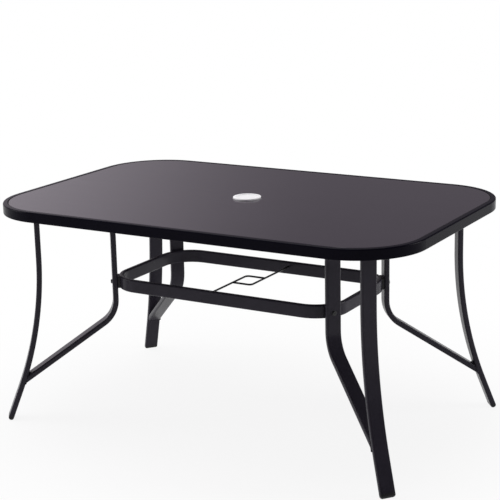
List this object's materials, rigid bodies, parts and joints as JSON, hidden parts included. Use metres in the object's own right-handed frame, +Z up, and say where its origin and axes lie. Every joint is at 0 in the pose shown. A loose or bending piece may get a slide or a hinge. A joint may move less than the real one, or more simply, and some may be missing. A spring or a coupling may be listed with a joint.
{
  "type": "garden table",
  "caption": "Rectangular garden table with a framed dark glass top, splayed bent-tube leg loops, a low stretcher ring and a lift-out cap in its centre hole.",
  "frame": {"origin": "on the floor, under the middle of the table top", "axes": "+X along the length to the right, +Y to the rear, +Z up"},
  "size_m": [1.4, 0.9, 0.7045],
  "materials": {
    "rim_paint": "satin black powder coat",
    "frame_paint": "satin black powder coat",
    "rod_paint": "satin black powder coat on round rod",
    "dark_glass": "smooth toughened glass with a dark backing colour",
    "gasket_rubber": "matt black",
    "white_plastic": "moulded white, low sheen",
    "black_plastic": "moulded black, low sheen",
    "bolt_steel": "black plated steel"
  },
  "bodies": {
    "table": {"centre_ring": "white_plastic", "corner_plate_front_left": "frame_paint", "corner_plate_front_right": "frame_paint", "corner_plate_rear_left": "frame_paint", "corner_plate_rear_right": "frame_paint", "end_plug_front_left": "black_plastic", "end_plug_front_right": "black_plastic", "end_plug_rear_left": "black_plastic", "end_plug_rear_right": "black_plastic", "foot_cap_front_left": "black_plastic", "foot_cap_front_right": "black_plastic", "foot_cap_rear_left": "black_plastic", "foot_cap_rear_right": "black_plastic", "glass_gasket": "gasket_rubber", "glass_panel": "dark_glass", "guide_rod_front": "rod_paint", "guide_rod_rear": "rod_paint", "inner_leg_front_left": "frame_paint", "inner_leg_front_right": "frame_paint", "inner_leg_rear_left": "frame_paint", "inner_leg_rear_right": "frame_paint", "outer_leg_front_left": "frame_paint", "outer_leg_front_right": "frame_paint", "outer_leg_rear_left": "frame_paint", "outer_leg_rear_right": "frame_paint", "ring_bolts": "bolt_steel", "ring_inserts": "bolt_steel", "ring_saddle_front_left": "black_plastic", "ring_saddle_front_right": "black_plastic", "ring_saddle_rear_left": "black_plastic", "ring_saddle_rear_right": "black_plastic", "ring_washers": "bolt_steel", "stretcher_ring": "frame_paint", "top_bolts": "bolt_steel", "top_nuts": "bolt_steel", "top_rim": "rim_paint", "top_washers": "bolt_steel"},
    "cap": {"centre_cap": "white_plastic"}
  },
  "joints": [
    {"name": "cap_lift", "type": "slide", "parent": "table", "child": "cap", "axis": [0, 0, 1], "range_m": [0, 0.2]}
  ]
}
